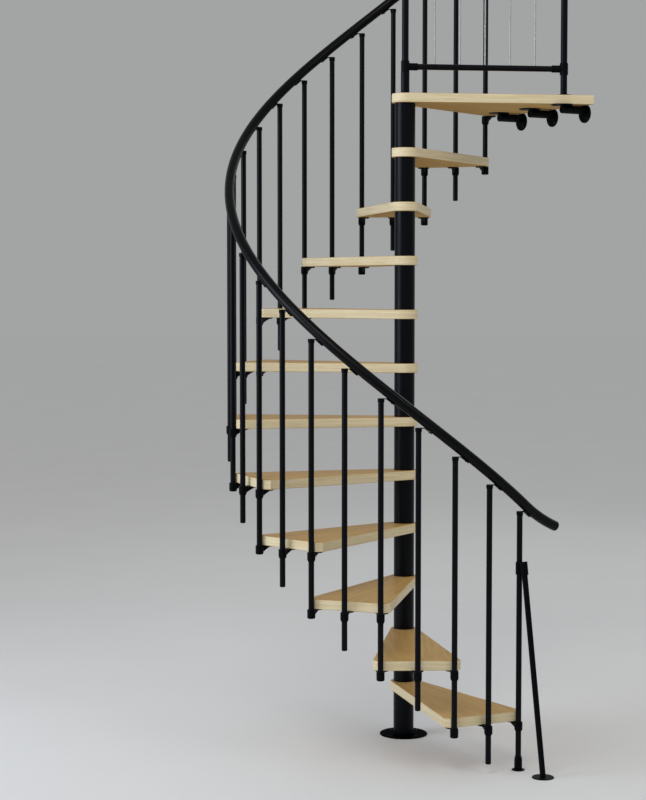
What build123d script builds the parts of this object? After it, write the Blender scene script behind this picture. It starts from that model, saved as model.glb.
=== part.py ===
from build123d import *
import os
from math import asin, atan, cos, degrees, radians, sin, tan

os.makedirs("parts", exist_ok=True)

# A spiral staircase with wooden wedge treads threaded on a steel pole, outer balusters, a helical
# handrail and a wooden landing. Millimetres, +Z up. The origin is the centre of the base plate's
# underside, on the pole's axis. Azimuths are in degrees, anticlockwise from +X seen from above, and
# the stair climbs clockwise, so each higher tread has a smaller azimuth.

# Layout of the flight
rise = 210.0
tread_count = 11
steps_per_turn = 16
first_corner_azimuth = -49.5
baluster_circle_radius = 685.0
handrail_above_tread = 888.0

# Wood
tread_thickness = 36.0
tread_side_angle = 9.5
tread_corner_cut = 22.0
board_edge_radius = 3.0
hub_end_radius = 52.0
landing_edge_setback = 17.0
landing_side_angle = 22.5
landing_corner_cut = 96.0
board_to_baluster_gap = 2.5

# Pole
base_plate_radius = 94.0
base_plate_thickness = 5.0
base_bolt_circle_diameter = 140.0
base_bolt_hole_radius = 5.0
base_bolt_count = 4
base_rim_chamfer = 1.5
pole_radius = 40.0
pole_wall = 3.0
centre_tube_radius = 15.0
centre_tube_wall = 3.0
centre_tube_clearance = 0.3

# Balusters and their brackets
baluster_radius = 10.5
collar_radius = 15.0
collar_height = 33.0
collar_cap_thickness = 6.0
collar_cap_rounding = 5.0
collar_mouth_wall = 1.6
collar_mouth_taper = 7.0
collar_clearance = 0.2
middle_baluster_tail = 138.0
arm_length = 60.0
arm_thickness = 10.0
arm_flat_length = 8.0
arm_belly_reach = 31.0
arm_belly_depth = 13.5
arm_root_depth = 25.0
arm_plate_length = 48.0
arm_plate_width = 46.0
arm_plate_thickness = 4.0

# Handrail and its clips
handrail_radius = 19.0
handrail_lower_overhang = 0.1
handrail_upper_overhang = 0.3
handrail_tail_length = 175.0
handrail_tail_turn = 16.0
handrail_cap_length = 8.0
handrail_cap_taper = 12.0
rail_gap = 17.0
clip_cap_radius = 12.3
clip_cap_height = 14.0
clip_cap_top = 3.0
clip_width = 14.0
clip_thickness = 3.0
clip_length = 48.0
clip_seat_gap = 0.3

# Foot and bracing strut of the first baluster
foot_radius = 24.0
foot_thickness = 4.0
foot_sleeve_radius = 14.5
foot_sleeve_height = 52.0
foot_sleeve_mouth_radius = 12.2
foot_sleeve_taper = 13.0
strut_radius = 10.5
strut_foot_radius = 40.0
strut_foot_offset = 135.0
strut_foot_rim = 1.5
strut_clamp_height = 748.0
strut_clamp_length = 45.0
strut_clamp_wall = 3.5
strut_offset = 26.0

# Anchors between the landing and the slab beside it
anchor_spacing = 211.0
anchor_middle_offset = -57.0
anchor_count = 3
anchor_plate_radius = 43.0
anchor_plate_thickness = 4.0
anchor_plate_rim = 2.5
anchor_tube_radius = 16.0
anchor_tube_length = 111.0
anchor_flange_radius = 37.0
anchor_flange_thickness = 4.0
anchor_flange_drop = 12.0
anchor_flange_gap = 1.0
anchor_weld_depth = 1.0
anchor_hole_radius = 4.5
anchor_hole_circle_diameter = 54.0
anchor_hole_count = 4

# Guard along the landing's open side
guard_height = 950.0
guard_post_radius = 13.4
guard_post_setback = 34.0
guard_sleeve_radius = 17.0
guard_bar_radius = 11.5
guard_bar_height = 105.0
guard_socket_radius = 16.5
guard_socket_tube_radius = 14.2
guard_socket_height = 45.0
guard_socket_length = 32.0
guard_flange_radius = 35.0
guard_flange_thickness = 4.0
guard_flange_rim = 2.0
guard_rod_radius = 3.0
guard_rod_count = 5
guard_rod_spacing = 100.0
guard_rail_overhang = 50.0

# Worked out from the sizes above
step_angle = 360.0 / steps_per_turn
spacer_length = rise - tread_thickness
first_tread_top = base_plate_thickness + rise
landing_number = tread_count + 1
landing_top = first_tread_top + tread_count * rise
landing_underside = landing_top - tread_thickness
handrail_slope = degrees(atan(rise / radians(step_angle) / baluster_circle_radius))
baluster_drop = handrail_radius / cos(radians(handrail_slope)) + rail_gap
baluster_chord_reach = baluster_circle_radius * cos(radians(step_angle / 2))
tread_reach = baluster_chord_reach - baluster_radius - board_to_baluster_gap
landing_reach = baluster_circle_radius - landing_edge_setback
guard_post_reach = landing_reach - guard_post_setback
strut_foot_reach = baluster_circle_radius + strut_foot_offset
arm_root_reach = (baluster_radius + collar_radius) / 2


def tread_underside(number):
    return first_tread_top + (number - 1) * rise - tread_thickness


def steps_azimuth(steps):
    """Azimuth of a point that lies so many steps up from the first corner baluster."""
    return first_corner_azimuth - steps * step_angle


def handrail_height(steps):
    """Height of the handrail's centre line, which passes the middle of each tread at one height."""
    return first_tread_top + handrail_above_tread + (steps - 0.5) * rise


def level_plane(azimuth, height, reach=0.0, sideways=0.0):
    """Level plane with its x axis pointing outwards along the azimuth."""
    turn = radians(azimuth)
    outward = Vector(cos(turn), sin(turn), 0)
    across = Vector(-sin(turn), cos(turn), 0)
    return Plane(
        origin=outward * reach + across * sideways + Vector(0, 0, height),
        x_dir=outward,
        z_dir=(0, 0, 1),
    )


def side_plane(level):
    """Upright plane through the same origin, with the same x axis and with y pointing up."""
    return Plane(origin=level.origin, x_dir=level.x_dir, z_dir=-level.y_dir)


def save(builder, name):
    builder.part.label = name
    export_step(builder.part, f"parts/{name}.step")


# Azimuth of the landing: its side clears the corner baluster that stands beside it
corner_baluster_offset = landing_side_angle + degrees(
    asin((hub_end_radius + baluster_radius + board_to_baluster_gap) / baluster_circle_radius)
)
landing_azimuth = steps_azimuth(tread_count) - corner_baluster_offset
guard_azimuth = landing_azimuth - landing_side_angle


# Base plate, bolted to the floor
with BuildPart() as base_plate:
    with BuildSketch(Plane.XY):
        Circle(base_plate_radius)
        with PolarLocations(base_bolt_circle_diameter / 2, base_bolt_count, start_angle=45):
            Circle(base_bolt_hole_radius, mode=Mode.SUBTRACT)
    extrude(amount=base_plate_thickness)
    rim = base_plate.edges().filter_by(GeomType.CIRCLE).sort_by(SortBy.RADIUS)[-2:]
    chamfer(rim.sort_by(Axis.Z)[-1], length=base_rim_chamfer)
save(base_plate, "base_plate")


# Centre tube, on which every board and spacer is threaded
with BuildPart() as centre_tube:
    with BuildSketch(Plane.XY.offset(base_plate_thickness)):
        Circle(centre_tube_radius)
        Circle(centre_tube_radius - centre_tube_wall, mode=Mode.SUBTRACT)
    extrude(amount=landing_top - base_plate_thickness)
save(centre_tube, "centre_tube")


# Spacer tubes, one under each board, which together look like one pole
with BuildPart() as spacer_tubes:
    for number in range(1, landing_number + 1):
        with BuildSketch(Plane.XY.offset(tread_underside(number) - spacer_length)):
            Circle(pole_radius)
            Circle(pole_radius - pole_wall, mode=Mode.SUBTRACT)
        extrude(amount=spacer_length)
save(spacer_tubes, "spacer_tubes")


def wedge_board(azimuth, underside, side_angle, reach, front_cut, back_cut):
    """Board with a round inner end about the pole, straight sides that open outwards and a
    straight outer edge, with its two outer corners cut off."""
    flare = radians(side_angle)
    shoulder_x = -hub_end_radius * sin(flare)
    shoulder_y = hub_end_radius * cos(flare)
    outer_y = shoulder_y + (reach - shoulder_x) * tan(flare)
    with BuildPart() as board:
        with BuildSketch(level_plane(azimuth, underside)):
            with BuildLine():
                Polyline(
                    (shoulder_x, -shoulder_y),
                    (reach, -outer_y),
                    (reach, outer_y),
                    (shoulder_x, shoulder_y),
                )
                ThreePointArc((shoulder_x, shoulder_y), (-hub_end_radius, 0), (shoulder_x, -shoulder_y))
            outline = make_face()
            corners = outline.vertices().group_by(Axis.X)[-1].sort_by(Axis.Y)
            chamfer(corners[-1], length=front_cut)
            chamfer(corners[0], length=back_cut)
            Circle(centre_tube_radius + centre_tube_clearance, mode=Mode.SUBTRACT)
        extrude(amount=tread_thickness)
        faces = board.faces().filter_by(Axis.Z)
        rims = [edge for face in faces for edge in face.outer_wire().edges()]
        fillet(rims, radius=board_edge_radius)
    return board


# Treads, each turned one step from the one below
for number in range(1, tread_count + 1):
    tread = wedge_board(
        steps_azimuth(number - 0.5),
        tread_underside(number),
        tread_side_angle,
        tread_reach,
        tread_corner_cut,
        tread_corner_cut,
    )
    save(tread, f"tread_{number:02d}")


# Landing, a wider board with a large cut where the last baluster stands
landing = wedge_board(
    landing_azimuth,
    landing_underside,
    landing_side_angle,
    landing_reach,
    landing_corner_cut,
    board_edge_radius,
)
save(landing, "landing")


def bracket_set(planes, capped):
    """Collar brackets. Each plane has its origin on a baluster's axis at the board's underside,
    and its x axis points along the bracket's arm. A capped collar closes below the baluster."""
    bore_radius = baluster_radius + collar_clearance
    if capped:
        bore_depth = collar_height - collar_cap_thickness
        side_end = (collar_radius, collar_cap_rounding - collar_height)
        rim_end = (collar_radius - collar_cap_rounding, -collar_height)
    else:
        bore_depth = collar_height
        side_end = (collar_radius, collar_mouth_taper - collar_height)
        rim_end = (bore_radius + collar_mouth_wall, -collar_height)
    with BuildPart() as brackets:
        for level in planes:
            with BuildSketch(side_plane(level)):
                with BuildLine():
                    Polyline(
                        (arm_root_reach, -arm_root_depth),
                        (arm_root_reach, 0),
                        (arm_length, 0),
                        (arm_length, -arm_plate_thickness),
                        (arm_length - arm_flat_length, -arm_plate_thickness),
                    )
                    ThreePointArc(
                        (arm_length - arm_flat_length, -arm_plate_thickness),
                        (arm_belly_reach, -arm_belly_depth),
                        (arm_root_reach, -arm_root_depth),
                    )
                make_face()
            extrude(amount=arm_thickness / 2, both=True)
            with BuildSketch(level.offset(-arm_plate_thickness)):
                with Locations((arm_length - arm_plate_length / 2, 0)):
                    SlotOverall(arm_plate_length, arm_plate_width)
            extrude(amount=arm_plate_thickness)
            with BuildSketch(side_plane(level)):
                with BuildLine():
                    Polyline(rim_end, (0, -collar_height), (0, 0), (collar_radius, 0), side_end)
                    if capped:
                        RadiusArc(side_end, rim_end, collar_cap_rounding)
                    else:
                        Line(side_end, rim_end)
                make_face()
            revolve(axis=Axis(level.origin, (0, 0, 1)))
            with BuildSketch(level):
                Circle(bore_radius)
            extrude(amount=-bore_depth, mode=Mode.SUBTRACT)
    return brackets


# Brackets: on the treads each arm points from its baluster straight at the pole
def arm_plane(steps, board_number):
    """Plane for the bracket that holds the baluster at those steps to the board of that number."""
    inward_azimuth = steps_azimuth(steps) + 180
    return level_plane(inward_azimuth, tread_underside(board_number), -baluster_circle_radius)


board_numbers = range(1, tread_count + 1)
landing_corner = level_plane(steps_azimuth(tread_count), landing_underside, baluster_circle_radius)
landing_arm = Plane(
    origin=landing_corner.origin,
    x_dir=(cos(radians(landing_azimuth - 90)), sin(radians(landing_azimuth - 90)), 0),
    z_dir=(0, 0, 1),
)
front_arms = [arm_plane(number - 1, number) for number in board_numbers]
front_brackets = bracket_set(front_arms + [landing_arm], False)
save(front_brackets, "front_brackets")
middle_brackets = bracket_set([arm_plane(number - 0.5, number) for number in board_numbers], False)
save(middle_brackets, "middle_brackets")
back_brackets = bracket_set([arm_plane(number, number) for number in board_numbers], True)
save(back_brackets, "back_brackets")


def baluster_top(steps):
    return handrail_height(steps) - baluster_drop - clip_cap_top


# Balusters, in pairs: the corner one below a tread's front corner and the one at its middle
for number in range(1, landing_number + 1):
    corner_steps = number - 1
    if number == 1:
        corner_foot = foot_thickness
    else:
        corner_foot = tread_underside(number - 1) - collar_height + collar_cap_thickness
    with BuildPart() as balusters:
        with BuildSketch(level_plane(steps_azimuth(corner_steps), corner_foot, baluster_circle_radius)):
            Circle(baluster_radius)
        extrude(amount=baluster_top(corner_steps) - corner_foot)
        if number <= tread_count:
            middle_steps = number - 0.5
            middle_foot = tread_underside(number) - middle_baluster_tail
            with BuildSketch(level_plane(steps_azimuth(middle_steps), middle_foot, baluster_circle_radius)):
                Circle(baluster_radius)
            extrude(amount=baluster_top(middle_steps) - middle_foot)
    save(balusters, f"balusters_{number:02d}")


# Handrail: a left-handed helix, which below the first baluster runs on in a tail that bends level.
# Both ends have plain caps
rail_start = -handrail_lower_overhang
rail_end = tread_count + handrail_upper_overhang
rail_helix = Helix(
    pitch=rise * steps_per_turn,
    height=(rail_end - rail_start) * rise,
    radius=baluster_circle_radius,
    center=(0, 0, handrail_height(rail_start)),
    lefthand=True,
)
with BuildPart() as handrail:
    with BuildLine() as rail_line:
        add(rail_helix.rotate(Axis.Z, steps_azimuth(rail_start)))
    rail_path = rail_line.edges()[0]
    with BuildSketch(Plane(origin=rail_path @ 0, z_dir=rail_path % 0)):
        Circle(handrail_radius)
    sweep(path=rail_path, is_frenet=True)
    tail_direction = -(rail_path % 0)
    tail_plane = Plane(
        origin=rail_path @ 0,
        x_dir=tail_direction,
        z_dir=tail_direction.cross(Vector(0, 0, 1)),
    )
    tail_bend_radius = handrail_tail_length / radians(handrail_tail_turn)
    with BuildLine(tail_plane) as tail_line:
        JernArc((0, 0), (1, 0), tail_bend_radius, handrail_tail_turn)
    tail_path = tail_line.edges()[0]
    with BuildSketch(Plane(origin=tail_path @ 0, z_dir=tail_path % 0)):
        Circle(handrail_radius)
    sweep(path=tail_path)
    with BuildSketch(Plane(origin=tail_path @ 1, z_dir=tail_path % 1)):
        Circle(handrail_radius)
    extrude(amount=handrail_cap_length, taper=handrail_cap_taper)
    with BuildSketch(Plane(origin=rail_path @ 1, z_dir=rail_path % 1)):
        Circle(handrail_radius)
    extrude(amount=handrail_cap_length, taper=handrail_cap_taper)
save(handrail, "handrail")


# Clips: a cap on each baluster and a bent tongue that runs down along the handrail's underside
with BuildPart() as rail_clips:
    for half_steps in range(2 * tread_count + 1):
        steps = half_steps / 2
        cap_top = handrail_height(steps) - baluster_drop
        level = level_plane(steps_azimuth(steps), cap_top, baluster_circle_radius)
        down_rail = Plane(origin=level.origin, x_dir=level.y_dir, z_dir=level.x_dir)
        slope = tan(radians(handrail_slope))
        skin = clip_thickness / cos(radians(handrail_slope))
        bend = (rail_gap - clip_seat_gap / cos(radians(handrail_slope))) / slope
        lower_bend = bend - (skin - clip_thickness) / slope
        end_drop = (clip_length - bend) * slope
        with BuildSketch(down_rail):
            with BuildLine():
                Polyline(
                    (0, 0),
                    (bend, 0),
                    (clip_length, -end_drop),
                    (clip_length, -end_drop - skin),
                    (lower_bend, -clip_thickness),
                    (0, -clip_thickness),
                    close=True,
                )
            make_face()
        extrude(amount=clip_width / 2, both=True)
        with BuildSketch(level.offset(-clip_cap_height)):
            Circle(clip_cap_radius)
        extrude(amount=clip_cap_height)
        with BuildSketch(level.offset(-clip_cap_height)):
            Circle(baluster_radius + collar_clearance)
        extrude(amount=clip_cap_height - clip_cap_top, mode=Mode.SUBTRACT)
save(rail_clips, "rail_clips")


# Foot of the first baluster: a turned disc with a sleeve that narrows at its mouth
first_foot_plane = level_plane(first_corner_azimuth, 0, baluster_circle_radius)
with BuildPart() as first_foot:
    with BuildSketch(side_plane(first_foot_plane)):
        Polygon(
            (0, 0),
            (foot_radius, 0),
            (foot_radius, foot_thickness / 2),
            (foot_radius - foot_thickness / 2, foot_thickness),
            (foot_sleeve_radius, foot_thickness),
            (foot_sleeve_radius, foot_sleeve_height - foot_sleeve_taper),
            (foot_sleeve_mouth_radius, foot_sleeve_height),
            (0, foot_sleeve_height),
            align=None,
        )
    revolve(axis=Axis(first_foot_plane.origin, (0, 0, 1)))
    with BuildSketch(first_foot_plane.offset(foot_thickness)):
        Circle(baluster_radius + collar_clearance)
    extrude(amount=foot_sleeve_height, mode=Mode.SUBTRACT)
save(first_foot, "first_foot")


# Bracing strut, which leans outwards from the first baluster down to its own foot
strut_top_plane = level_plane(first_corner_azimuth, strut_clamp_height, baluster_circle_radius + strut_offset)
strut_foot_plane = level_plane(first_corner_azimuth, 0, strut_foot_reach)
strut_top = strut_top_plane.origin
strut_foot = strut_foot_plane.origin + Vector(0, 0, foot_thickness)
strut_direction = (strut_top - strut_foot).normalized()
strut_length = (strut_top - strut_foot).length + strut_clamp_length / 2
with BuildPart() as bracing_strut:
    with BuildSketch(Plane(origin=strut_foot, z_dir=strut_direction)):
        Circle(strut_radius)
    extrude(amount=strut_length)
    split(bisect_by=Plane.XY, keep=Keep.TOP)
    with BuildSketch(strut_foot_plane):
        Circle(strut_foot_radius)
    extrude(amount=foot_thickness)
    rim = bracing_strut.edges().filter_by(GeomType.CIRCLE).group_by(SortBy.RADIUS)[-1]
    chamfer(rim.sort_by(Axis.Z)[-1], length=strut_foot_rim)
save(bracing_strut, "bracing_strut")


# Clamp with one sleeve on the first baluster and one on the strut's upper end
clamp_sleeve_radius = baluster_radius + strut_clamp_wall
clamp_plane = level_plane(
    first_corner_azimuth, strut_clamp_height - strut_clamp_length / 2, baluster_circle_radius
)
strut_axis_plane = Plane(
    origin=strut_top - strut_direction * (strut_clamp_length / 2 - collar_clearance),
    z_dir=strut_direction,
)
with BuildPart() as strut_clamp:
    with BuildSketch(clamp_plane):
        Circle(clamp_sleeve_radius)
        with Locations((strut_offset / 2, 0)):
            Rectangle(strut_offset, strut_clamp_wall * 2)
    extrude(amount=strut_clamp_length)
    with BuildSketch(strut_axis_plane):
        Circle(clamp_sleeve_radius)
    extrude(amount=strut_clamp_length + strut_clamp_wall)
    with BuildSketch(clamp_plane):
        Circle(baluster_radius + collar_clearance)
    extrude(amount=strut_clamp_length + 2 * strut_clamp_wall, mode=Mode.SUBTRACT)
    with BuildSketch(strut_axis_plane.offset(-strut_clamp_wall)):
        Circle(strut_radius + collar_clearance)
    extrude(amount=strut_clamp_length + strut_clamp_wall, mode=Mode.SUBTRACT)
save(strut_clamp, "strut_clamp")


# Anchors: a disc under the landing, a level tube and an upright flange against the slab
anchor_tube_height = landing_underside - anchor_plate_thickness - anchor_tube_radius + anchor_weld_depth
for number in range(1, anchor_count + 1):
    sideways = anchor_middle_offset + (2 - number) * anchor_spacing
    inner_reach = landing_reach + anchor_flange_gap - anchor_tube_length
    plate_plane = level_plane(
        landing_azimuth, landing_underside - anchor_plate_thickness, inner_reach, sideways
    )
    level = level_plane(landing_azimuth, anchor_tube_height, inner_reach, sideways)
    tube_plane = Plane(origin=level.origin, x_dir=level.y_dir, z_dir=level.x_dir)
    flange_plane = tube_plane.offset(anchor_tube_length)
    with BuildPart() as anchor:
        with BuildSketch(plate_plane):
            Circle(anchor_plate_radius)
        extrude(amount=anchor_plate_thickness)
        chamfer(anchor.edges().sort_by(Axis.Z)[0], length=anchor_plate_rim)
        with BuildSketch(tube_plane):
            Circle(anchor_tube_radius)
        extrude(amount=anchor_tube_length)
        with BuildSketch(flange_plane):
            with Locations((0, -anchor_flange_drop)):
                Circle(anchor_flange_radius)
                with PolarLocations(anchor_hole_circle_diameter / 2, anchor_hole_count, start_angle=45):
                    Circle(anchor_hole_radius, mode=Mode.SUBTRACT)
        extrude(amount=anchor_flange_thickness)
    save(anchor, f"slab_anchor_{number}")


# Guard posts: one carries on above the pole, the other stands on the landing's open side
bar_axis_height = landing_top + guard_bar_height
rail_axis_height = landing_top + guard_height
end_post_plane = level_plane(guard_azimuth, landing_top, guard_post_reach)
rail_plane = level_plane(guard_azimuth, rail_axis_height)
top_rail_plane = Plane(origin=rail_plane.origin, x_dir=rail_plane.y_dir, z_dir=rail_plane.x_dir)
with BuildPart() as pole_post:
    with BuildSketch(Plane.XY.offset(landing_top)):
        Circle(guard_post_radius)
    extrude(amount=rail_axis_height - landing_top)
    with BuildSketch(Plane.XY.offset(landing_top)):
        Circle(guard_sleeve_radius)
    extrude(amount=guard_bar_height - guard_socket_height / 2)
    with BuildSketch(top_rail_plane.offset(-guard_rail_overhang)):
        Circle(handrail_radius)
    extrude(amount=guard_post_reach, mode=Mode.SUBTRACT)
save(pole_post, "pole_post")

with BuildPart() as end_post:
    with BuildSketch(end_post_plane):
        Circle(guard_flange_radius)
    extrude(amount=guard_flange_thickness)
    chamfer(end_post.edges().sort_by(Axis.Z)[-1], length=guard_flange_rim)
    with BuildSketch(end_post_plane):
        Circle(guard_post_radius)
    extrude(amount=rail_axis_height - landing_top)
    with BuildSketch(top_rail_plane):
        Circle(handrail_radius)
    extrude(amount=guard_post_reach + guard_rail_overhang, mode=Mode.SUBTRACT)
save(end_post, "end_post")

# Sockets that join the lower bar to the posts
guard_line = level_plane(guard_azimuth, bar_axis_height)
bar_start = guard_post_radius + collar_clearance
bar_end = guard_post_reach - guard_post_radius - collar_clearance
bar_plane = Plane(origin=guard_line.origin, x_dir=guard_line.y_dir, z_dir=guard_line.x_dir)
with BuildPart() as bar_sockets:
    for reach, inward in ((0.0, 1), (guard_post_reach, -1)):
        collar_plane = level_plane(guard_azimuth, bar_axis_height - guard_socket_height / 2, reach)
        with BuildSketch(collar_plane):
            Circle(guard_socket_radius)
        extrude(amount=guard_socket_height)
        with BuildSketch(bar_plane.offset(reach)):
            Circle(guard_socket_tube_radius)
        extrude(amount=inward * (guard_socket_radius + guard_socket_length))
        with BuildSketch(collar_plane):
            Circle(guard_post_radius + collar_clearance)
        extrude(amount=guard_socket_height, mode=Mode.SUBTRACT)
        with BuildSketch(bar_plane.offset(reach)):
            Circle(guard_bar_radius + collar_clearance)
        extrude(amount=inward * (guard_socket_radius + guard_socket_length), mode=Mode.SUBTRACT)
save(bar_sockets, "bar_sockets")

with BuildPart() as guard_bar:
    with BuildSketch(bar_plane.offset(bar_start)):
        Circle(guard_bar_radius)
    extrude(amount=bar_end - bar_start)
save(guard_bar, "guard_bar")

# Top rail of the guard, level, on both posts
with BuildPart() as guard_rail:
    with BuildSketch(top_rail_plane.offset(-guard_rail_overhang)):
        Circle(handrail_radius)
    extrude(amount=guard_post_reach + 2 * guard_rail_overhang)
save(guard_rail, "guard_rail")

# Thin upright rods between the lower bar and the top rail
rod_foot = bar_axis_height + guard_bar_radius
rod_length = rail_axis_height - handrail_radius - rod_foot
first_rod_reach = guard_post_reach / 2 - (guard_rod_count - 1) / 2 * guard_rod_spacing
with BuildPart() as guard_rods:
    for index in range(guard_rod_count):
        with BuildSketch(level_plane(guard_azimuth, rod_foot, first_rod_reach + index * guard_rod_spacing)):
            Circle(guard_rod_radius)
        extrude(amount=rod_length)
save(guard_rods, "guard_rods")
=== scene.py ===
# %% [markdown]
# # A spiral staircase
# The stair is a kit: wooden wedge treads are threaded on a steel pole, black balusters hang on brackets
# at their outer edges, and one handrail climbs round them to a small landing.
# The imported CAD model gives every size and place. This script gives it its wood, its black coat, its
# smooth handrail, its screws and its light.

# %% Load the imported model
from math import acos, asin, atan, cos, degrees, pi, radians, sin, tan

import bmesh
import bpy
from mathutils import Matrix, Vector


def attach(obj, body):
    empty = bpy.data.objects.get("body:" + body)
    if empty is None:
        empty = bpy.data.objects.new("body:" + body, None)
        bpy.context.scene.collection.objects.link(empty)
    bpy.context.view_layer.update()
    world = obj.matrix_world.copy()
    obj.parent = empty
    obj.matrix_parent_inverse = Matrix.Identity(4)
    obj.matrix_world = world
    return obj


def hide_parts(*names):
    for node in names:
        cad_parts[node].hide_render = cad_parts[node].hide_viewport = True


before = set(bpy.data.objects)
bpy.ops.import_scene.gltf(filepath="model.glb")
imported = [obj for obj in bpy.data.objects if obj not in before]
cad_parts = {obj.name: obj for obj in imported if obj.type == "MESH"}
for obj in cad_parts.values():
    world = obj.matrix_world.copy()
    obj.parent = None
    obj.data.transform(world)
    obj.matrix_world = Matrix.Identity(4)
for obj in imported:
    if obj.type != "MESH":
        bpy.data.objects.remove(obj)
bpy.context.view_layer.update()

# %% [markdown]
# ## The rule of the flight
# One tread repeats itself, turned by a sixteenth of a circle and lifted by one rise. Everything that is
# added here follows the same rule, so its few numbers are written once, in metres and degrees. A stair
# could also be placed piece by piece, but then each added screw would need its own numbers.

# %% The rule of the flight
MM = 0.001
RISE = 210 * MM
TREADS = 11
STEP_ANGLE = 22.5
FIRST_AZIMUTH = -49.5
CIRCLE_RADIUS = 685 * MM
FIRST_TREAD_TOP = 215 * MM
BOARD_THICKNESS = 36 * MM
RAIL_ABOVE_TREAD = 888 * MM
RAIL_SLOPE = atan(RISE / radians(STEP_ANGLE) / CIRCLE_RADIUS)
UP, DOWN = Vector((0, 0, 1)), Vector((0, 0, -1))


def steps_azimuth(steps):
    """Azimuth of a point that lies so many steps up from the first baluster."""
    return FIRST_AZIMUTH - steps * STEP_ANGLE


def board_underside(number):
    return FIRST_TREAD_TOP + (number - 1) * RISE - BOARD_THICKNESS


def rail_height(steps):
    return FIRST_TREAD_TOP + RAIL_ABOVE_TREAD + (steps - 0.5) * RISE


def outward(azimuth):
    return Vector((cos(radians(azimuth)), sin(radians(azimuth)), 0))


def sideways(azimuth):
    return Vector((-sin(radians(azimuth)), cos(radians(azimuth)), 0))


print("the rail slopes by", round(degrees(RAIL_SLOPE), 2), "degrees")

# %% The landing's place
# The landing is one board more, and wider: its side runs from the round end at the pole past the last
# baluster, and just clears it.
LANDING_SIDE_ANGLE = 22.5
HUB_END_RADIUS = 52 * MM
BALUSTER_RADIUS = 10.5 * MM
BOARD_TO_BALUSTER_GAP = 2.5 * MM
LANDING_TOP = FIRST_TREAD_TOP + TREADS * RISE
side_to_baluster = HUB_END_RADIUS + BALUSTER_RADIUS + BOARD_TO_BALUSTER_GAP
last_baluster_angle = LANDING_SIDE_ANGLE + degrees(asin(side_to_baluster / CIRCLE_RADIUS))
LANDING_AZIMUTH = steps_azimuth(TREADS) - last_baluster_angle
print("landing top at", round(LANDING_TOP, 3), "m, landing azimuth", round(LANDING_AZIMUTH % 360, 2))

# %% [markdown]
# ## Camera
# The photograph was taken from about eye height, seven metres away, with a long lens. The camera's place
# was found by fitting the stair's own points to the photograph. It could also be set by eye, but the
# many thin uprights would show an error of a centimetre.

# %% Camera
LENS = 84.2  # mm
SENSOR_WIDTH = 36  # mm
EYE = (0.3188, -7.3491, 1.7755)
TURNED_DOWN, TURNED_LEFT = 3.469, 4.978  # degrees


def put_in_scene(name, data):
    """A new object at the origin, linked to the scene."""
    thing = bpy.data.objects.new(name, data)
    bpy.context.scene.collection.objects.link(thing)
    return thing


camera_data = bpy.data.cameras.new("camera")
camera_data.lens = LENS
camera_data.sensor_width = SENSOR_WIDTH
camera = put_in_scene("camera", camera_data)
camera.location = EYE
camera.rotation_euler = (radians(90 - TURNED_DOWN), 0, radians(TURNED_LEFT))
bpy.context.scene.camera = camera
print("camera lens", camera_data.lens, "mm, at eye height", EYE[2], "m")

# %% [markdown]
# ## Helpers for nodes and colours
# Materials and Geometry Nodes are both trees of nodes. One small function adds a node, sets its
# properties and links or fills its inputs, so each tree reads as a list of its nodes. An input goes by
# its name, or by its number. In a Map Range 0 is the value, 1 and 2 are the ends it is read between and
# 3 and 4 the ends it comes out between. In a Mix 0 is the share, and 2 and 3 are the two numbers or 6
# and 7 the two colours. Colours are written as sRGB hex values, as a paint chart gives them, and turned
# to the linear values that light adds up in.

# %% Helpers for nodes and colours


def add(tree, kind, inputs=(), **settings):
    """Adds a node. inputs maps a socket's name or number to a value or to the socket that feeds it."""
    node = tree.nodes.new(kind)
    for name, value in settings.items():
        setattr(node, name, value)
    for key, value in dict(inputs).items():
        if isinstance(value, bpy.types.NodeSocket):
            tree.links.new(value, node.inputs[key])
        else:
            node.inputs[key].default_value = value
    return node


def colour(hex_value):
    """Linear RGBA of an sRGB hex colour."""
    channels = [int(hex_value[i : i + 2], 16) / 255 for i in (1, 3, 5)]
    linear = [c / 12.92 if c <= 0.04045 else ((c + 0.055) / 1.055) ** 2.4 for c in channels]
    return (*linear, 1.0)


def per_metre(millimetres):
    """Scale of a pattern whose features are about that far apart."""
    return 1000 / millimetres


def new_material(name):
    material = bpy.data.materials.new(name)
    material.use_nodes = True
    material.node_tree.nodes.clear()
    return material, material.node_tree


print("a middle grey is", round(colour("#808080")[0], 3), "in linear light")

# %% Edges for painted highlights
EDGE_BEGINS, EDGE_IS_FULL = 0.99, 0.86  # cosines of the angle that a rounded normal has turned
BEVEL_SAMPLES = 6


def along_edges(tree, width):
    """1 on sharp edges and 0 elsewhere: how far a normal that is rounded over that width turns away."""
    rounded = add(tree, "ShaderNodeBevel", {"Radius": width}, samples=BEVEL_SAMPLES)
    true = add(tree, "ShaderNodeNewGeometry")
    agreement = add(
        tree,
        "ShaderNodeVectorMath",
        {0: rounded.outputs[0], 1: true.outputs["Normal"]},
        operation="DOT_PRODUCT",
    )
    edge = add(
        tree,
        "ShaderNodeMapRange",
        {0: agreement.outputs["Value"], 1: EDGE_BEGINS, 2: EDGE_IS_FULL, 3: 0.0, 4: 1.0},
    )
    return edge.outputs[0]


print("an edge shows from a turn of", round(degrees(acos(EDGE_BEGINS))), "degrees")

# %% [markdown]
# ## Floor and world
# The stair stands on a plain pale floor that runs on to the horizon. The world gives even light from all
# sides. Where the camera looks past the floor it would see that light as a hard bright edge, so for
# camera, mirror and glass rays the world shows the colour that the floor has far away. A curved backdrop
# would do the same from one side only.

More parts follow.
